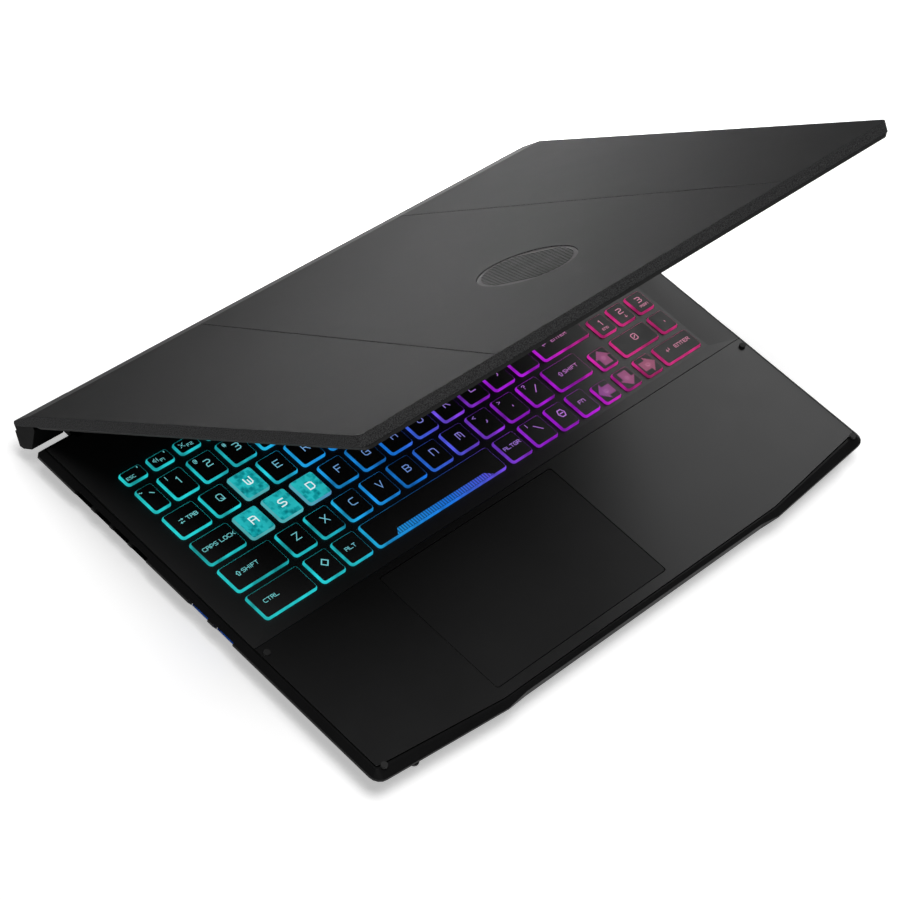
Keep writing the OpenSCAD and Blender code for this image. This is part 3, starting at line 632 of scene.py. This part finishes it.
# Places are (right, back) of the key's middle in mm
sign_place, pair_place, upper_place = (1.0, 1.0), (1.4, 1.2), (-3.5, 5.2)


def spot(low, high, place):
    """The x and y of a place on a key."""
    return (low.x + high.x) / 2 + place[0] * MM, (low.y + high.y) / 2 + place[1] * MM


def label_sign(label, low, high, points, faces):
    """One large sign near the middle of a key."""
    size = emblem_size if label in emblems else letter_size
    write(label, *spot(low, high, sign_place), high.z, size, points, faces)


def label_pair(label, low, high, points, faces):
    """The plain sign large, and the shifted sign small at the upper left."""
    write(label[0], *spot(low, high, pair_place), high.z, pair_size, points, faces)
    write(label[1], *spot(low, high, upper_place), high.z, upper_size, points, faces)


print("emblems:", emblems)

# %% [markdown]
# ## Words
# The wide keys at both ends of the rows carry words, some with a sign before the word. How far each
# word starts from its key's left edge is the designer's choice, so it is a table.

# %% Words on wide keys
word_size, word_gap, word_lift = (1.75, 1.9, 0.34), 0.62, 0.6
word_sign_size, word_sign_shift = (2.3, 2.6, 0.34), -0.2
word_signs = {"SHIFT": ("shift", 7.3), "TAB": ("tab", 6.8), "ENTER": ("return", 7.6),
              "BACKSPACE": ("left", 4.0)}
word_starts = {"CTRL": 5.6, "SHIFT": 9.6, "TAB": 9.7, "ENTER": 12.6, "CAPS LOCK": 2.6, "BACKSPACE": 7.0,
               "ALT": 3.6, "ALTGR": 1.9, "FN": 3.9, "NUM": 2.6}
right_shift_step = 1.2  # the right shift key's word starts this much further in, mm


def label_word(label, low, high, points, faces):
    """A word at the left of a key, with its sign if it has one."""
    y = (low.y + high.y) / 2 + word_lift * MM
    start = low.x + word_starts[label] * MM
    if label == "SHIFT" and low.x > 0:
        start += right_shift_step * MM
    write_word(label, start, y, high.z, word_size, word_gap, points, faces)
    if label in word_signs:
        sign, across = word_signs[label]
        x = start - (word_starts[label] - across) * MM + word_sign_shift * MM
        write(sign, x, y, high.z, word_sign_size, points, faces)


print("words:", sorted(word_starts))

# %% [markdown]
# ## Number pad and function keys
# On the number pad most digits share their key with a word or an arrow under them. Most function
# keys have a small picture, their name at the right of it and a lamp dot in the corner. They are
# written with the same strokes as the rest, so the small pictures are plain ones.

# %% Digits with notes, names with pictures
pad_notes = {"1": "END", "2": "down", "3": "PGDN", "4": "left", "6": "right", "7": "HOME", "8": "up",
             "9": "PGUP"}
digit_size, pad_arrow_size = (2.9, 3.3, 0.5), (1.6, 1.8, 0.3)
note_size, note_gap = (1.1, 1.3, 0.24), 0.4
digit_place, arrow_place, note_place = (0.6, 1.4), (1.0, -2.9), (-2.2, -2.9)
row_icons = ["mute", "louder", "lamp", "screen", "gem", "diamond"]
mark_size, icon_size = (2.6, 2.6, 0.36), (2.5, 2.4, 0.28)
name_size, name_gap, dot_width = (1.35, 1.5, 0.26), 0.45, 0.5
# Distances from the key's left edge, its middle line or its upper right corner, mm
name_start, bare_name_start, name_drop = 6.0, 1.6, 0.9
icon_across, icon_rise = 3.6, 0.6
dot_in, dot_down = 2.4, 1.5


def label_pad_digit(label, low, high, points, faces):
    """A digit with its note below it."""
    note = pad_notes[label]
    write(label, *spot(low, high, digit_place), high.z, digit_size, points, faces)
    if note in signs:
        write(note, *spot(low, high, arrow_place), high.z, pad_arrow_size, points, faces)
    else:
        write_word(note, *spot(low, high, note_place), high.z, note_size, note_gap, points, faces)


def label_function(label, low, high, index, points, faces):
    """A function key's sign, or its name and picture, and its dot."""
    x, y = (low.x + high.x) / 2, (low.y + high.y) / 2
    if label in signs:
        write(label, x, y, high.z, mark_size, points, faces)
    else:
        start = low.x + (bare_name_start if label == "ESC" else name_start) * MM
        write_word(label, start, y - name_drop * MM, high.z, name_size, name_gap, points, faces)
        if label != "ESC":
            icon = row_icons[index % len(row_icons)]
            write(icon, low.x + icon_across * MM, y + icon_rise * MM, high.z, icon_size, points, faces)
    dot = (high.x - dot_in * MM, high.y - dot_down * MM)
    ribbon([dot, dot], dot_width * MM, high.z + legend_lift, points, faces)


print("pad notes:", len(pad_notes))

# %% [markdown]
# ## Printing the rows
# A real legend is clear plastic that the black paint leaves free, so it glows. It could be cut out of
# the plate, but a ribbon that lies just over the plate looks the same and is simpler to change. One
# mesh holds a whole row's legends and rides on that row's keys, so the signs go down with them.

# %% All legends
def label_key(label, low, high, row, index, points, faces):
    """Picks the way to write one key's legend."""
    if row == "function_row_keys":
        label_function(label, low, high, index, points, faces)
    elif row == "number_pad_keys" and label in pad_notes:
        label_pad_digit(label, low, high, points, faces)
    elif label in word_starts:
        label_word(label, low, high, points, faces)
    elif label in signs:
        label_sign(label, low, high, points, faces)
    else:
        label_pair(label, low, high, points, faces)


for row, labels in row_legends.items():
    points, faces = [], []
    for index, (label, (low, high)) in enumerate(zip(labels, key_boxes[row], strict=True)):
        label_key(label, low, high, row, index, points, faces)
    piece(row + "_legends", points, faces, legend_glow, frame["nodes"][row]["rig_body"], "clear_keycap")
print("legends on", sum(map(len, row_legends.values())), "keys")

# %% [markdown]
# ## The four clear caps
# The caps under the left hand, which steer in games, are clear all through, and lit teal. Inside one
# sees a mottled pattern of pads and rings, and the letter is bright on top. Clear plastic over a real
# pattern would be slow to draw, so a thin plate on top of the cap carries the pattern as light under a
# weak glossy coat, and the clear skirt round it gives the pale rim.

# %% Clear caps
pad_scale, mottle_scale, cloudy_scale = 330.0, 260.0, 150.0  # patterns per metre
core_profile = [(0.50, 1.2, 0.2), (0.50, 1.2, 0.05), (0.58, 1.15, 0.0)]
cap_letter_size, cap_letter_place = (3.5, 4.0, 0.7), (0.6, 0.9)


def circuit_glow():
    """Teal light with the pads and rings of the board that shows through the cap."""
    made = bpy.data.materials.new("clear_cap_core")
    made.use_nodes = True
    tree = made.node_tree
    shader = tree.nodes["Principled BSDF"]
    shader.inputs["Roughness"].default_value = 0.25
    shader.inputs["Coat Weight"].default_value = 0.1
    shader.inputs["Coat Roughness"].default_value = 0.12
    shader.inputs["Specular IOR Level"].default_value = 0.2
    cells = node(tree, "TexVoronoi", Scale=pad_scale, distance="CHEBYCHEV")
    tree.links.new(node(tree, "TexCoord").outputs["Object"], cells.inputs["Vector"])
    blend = node(tree, "Math", operation="ADD")
    tree.links.new(cells.outputs["Distance"], blend.inputs[0])
    tree.links.new(noise(tree, mottle_scale, 5.0), blend.inputs[1])
    shades = ramp(tree, blend.outputs["Value"],
                  [(0.35, (0.002, 0.15, 0.17)), (0.60, (0.003, 0.25, 0.28)), (0.78, (0.006, 0.34, 0.37)),
                   (1.0, (0.02, 0.50, 0.53))])
    tree.links.new(shades, shader.inputs["Emission Color"])
    shader.inputs["Base Color"].default_value = (0.01, 0.08, 0.085, 1.0)
    tree.links.new(span(tree, noise(tree, cloudy_scale), 0.75, 1.0), shader.inputs["Emission Strength"])
    return made


clear_core = circuit_glow()
rim_glow = glowing("clear_cap_rim", 0.55, whiten=0.12, patchy=0.2)
letter_glow = glowing("clear_cap_letter", 0.9, whiten=0.8, patchy=0.05)
for part_name in clear_caps:
    (low, high), = key_boxes[part_name]
    body, letter = frame["nodes"][part_name]["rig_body"], part_name[4].upper()
    piece(part_name + "_rim", *clear_skirts([(low, high)]), rim_glow, body, "clear_keycap", [part_name])
    points, faces = [], []
    loft(stack(low, high, core_profile), points, faces)
    piece(part_name + "_core", points, faces, clear_core, body, "clear_keycap")
    points, faces = [], []
    write(letter, *spot(low, high, cap_letter_place), high.z, cap_letter_size, points, faces)
    piece(part_name + "_letter", points, faces, letter_glow, body, "clear_keycap")
print("clear caps:", clear_caps)

# %% [markdown]
# ## The hatched window of the space bar
# Along the front of the space bar runs a clear window with slanted ends, cut by fine lines. Each line
# could be a ribbon, but the hatching is a set of thin stripes in the material instead, so one flat
# outline is enough for a window.

# %% Hatching and the space bar's window
radians_per_scale = 20  # a wave texture's phase turns this far in a metre at scale 1


def hatched(name, low, high, whiten, stripes):
    """Clear plastic with fine lines, from low to high brightness, stripes in radians per metre."""
    made = glowing(name, 1.0, whiten=whiten)
    tree = made.node_tree
    shader = tree.nodes["Principled BSDF"]
    lines = node(tree, "TexWave", wave_type="BANDS", bands_direction="X", Scale=stripes / radians_per_scale,
                 Distortion=0.0)
    tree.links.new(node(tree, "TexCoord").outputs["Object"], lines.inputs["Vector"])
    tree.links.new(span(tree, lines.outputs["Fac"], low, high, 0.2, 0.8), shader.inputs["Emission Strength"])
    return made


def outline(name, spots, z, material, body):
    """One flat face at height z."""
    points = [(x, y, z + legend_lift) for x, y in spots]
    return piece(name, points, [tuple(range(len(spots)))], material, body, "clear_keycap")


window_glow = hatched("space_window", 0.25, 0.80, 0.0, stripes=3800.0)
(low, high), = key_boxes["space_bar"]
# How far the window's front and rear corners lie from the key's left and right ends, mm
window_front, window_rear = (12.6, 9.6), (15.2, 13.6)
window_edge, window_depth = 0.62, 3.3  # its distance from the key's front edge, and its depth, mm
front = low.y + window_edge * MM
rear = front + window_depth * MM
outline("space_bar_window", [(low.x + window_front[0] * MM, front), (high.x - window_front[1] * MM, front),
                             (high.x - window_rear[1] * MM, rear), (low.x + window_rear[0] * MM, rear)],
        high.z, window_glow, frame["nodes"]["space_bar"]["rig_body"])
print("space bar window:", round((high.x - low.x) / MM - sum(window_front), 1), "mm long")

# %% [markdown]
# ## Arrows
# Each arrow key carries a large arrow of the same hatching, with finer lines and a small sign in it.
# The four arrows are one outline turned by quarter turns, so only the upward one is written down.

# %% Arrow windows
arrow_glow = hatched("arrow_window", 0.15, 0.5, 0.05, stripes=5600.0)
arrow_shape = [(0, 5.4), (-5.4, 0.3), (-3.0, 0.3), (-3.0, -4.6), (3.0, -4.6), (3.0, 0.3), (5.4, 0.3)]
arrow_turns = {"up": 0, "left": 90, "down": 180, "right": 270}
arrow_signs = {"up": "power", "left": "screen", "down": "power", "right": "screen"}
arrow_sign_size, arrow_sign_lift = (2.2, 2.2, 0.3), 0.004
for way, turn in arrow_turns.items():
    part_name = way + "_arrow_key"
    (low, high), = key_boxes[part_name]
    body = frame["nodes"][part_name]["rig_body"]
    cx, cy = (low.x + high.x) / 2, (low.y + high.y) / 2
    across, along = math.cos(math.radians(turn)), math.sin(math.radians(turn))
    spots = [(cx + (x * across - y * along) * MM, cy + (x * along + y * across) * MM) for x, y in arrow_shape]
    outline(part_name + "_window", spots, high.z, arrow_glow, body)
    points, faces = [], []
    write(arrow_signs[way], cx, cy, high.z + arrow_sign_lift * MM, arrow_sign_size, points, faces)
    piece(part_name + "_sign", points, faces, legend_glow, body, "clear_keycap")
print("arrow windows:", len(arrow_turns))
